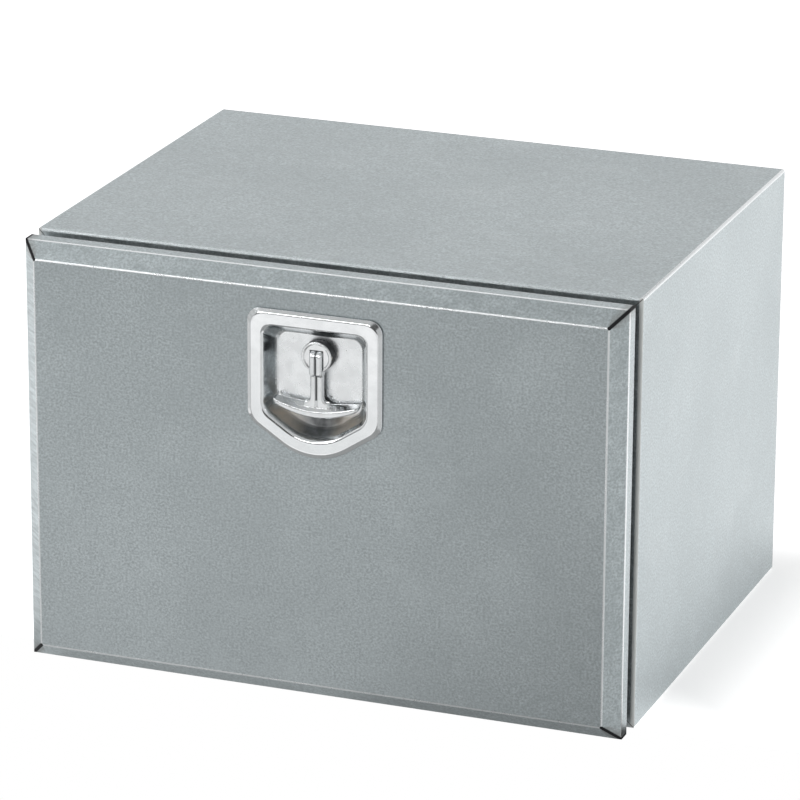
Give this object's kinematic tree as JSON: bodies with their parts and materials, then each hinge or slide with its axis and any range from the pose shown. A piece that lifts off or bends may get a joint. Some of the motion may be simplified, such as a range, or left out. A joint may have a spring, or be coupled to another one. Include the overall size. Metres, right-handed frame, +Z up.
{
  "type": "tool box",
  "caption": "Stainless steel tool box with a bottom-hinged drop-down front door, a bevelled door face, a rubber door seal and a recessed shield-shaped latch with a folding T-handle.",
  "frame": {"origin": "centre of the box's footprint, on the surface that it stands on", "axes": "+Z up, +Y towards the back, +X to the right as seen from the front; the door faces -Y"},
  "size_m": [0.6, 0.5, 0.42],
  "materials": {
    "steel": "dull mill finish stainless sheet",
    "bright": "polished stainless",
    "zinc": "zinc plated",
    "rubber": "matt black"
  },
  "bodies": {
    "cabinet": {"cabinet_wrapper": "steel", "back_panel": "steel", "door_seal": "rubber", "striker_plate": "zinc", "striker_rivet_1": "zinc", "striker_rivet_2": "zinc", "hinge_cabinet_leaf": "steel", "hinge_pin": "zinc", "cabinet_hinge_rivet_1": "zinc", "cabinet_hinge_rivet_2": "zinc", "cabinet_hinge_rivet_3": "zinc", "cabinet_hinge_rivet_4": "zinc", "cabinet_hinge_rivet_5": "zinc", "cabinet_hinge_rivet_6": "zinc"},
    "door": {"hinge_door_leaf": "steel", "door_hinge_rivet_1": "zinc", "door_hinge_rivet_2": "zinc", "door_hinge_rivet_3": "zinc", "door_hinge_rivet_4": "zinc", "door_hinge_rivet_5": "zinc", "door_hinge_rivet_6": "zinc", "door_skin": "steel", "door_stiffener_left": "steel", "door_stiffener_right": "steel", "lock_dish": "bright", "lock_gasket": "rubber", "lock_backing_frame": "zinc", "lock_stud_1": "zinc", "lock_stud_2": "zinc", "lock_stud_3": "zinc", "lock_stud_4": "zinc", "lock_nut_1": "zinc", "lock_nut_2": "zinc", "lock_nut_3": "zinc", "lock_nut_4": "zinc", "lock_bushing": "zinc"},
    "barrel": {"lock_barrel": "bright", "handle_pin": "zinc", "latch_cam": "zinc", "cam_washer": "zinc", "cam_nut": "zinc"},
    "handle": {"t_handle": "bright"}
  },
  "joints": [
    {"name": "door_hinge", "type": "hinge", "parent": "cabinet", "child": "door", "pos_m": [0, -0.2065, 0.007], "axis": [1, 0, 0], "range_deg": [0, 90]},
    {"name": "barrel_turn", "type": "hinge", "parent": "door", "child": "barrel", "pos_m": [0, -0.2408, 0.341], "axis": [0, 1, 0], "range_deg": [0, 90]},
    {"name": "handle_lift", "type": "hinge", "parent": "barrel", "child": "handle", "pos_m": [0, -0.2408, 0.341], "axis": [-1, 0, 0], "range_deg": [0, 90]}
  ],
  "couplings": [
    {"joint": "handle_lift", "follows": "barrel_turn", "ratio": 1}
  ]
}
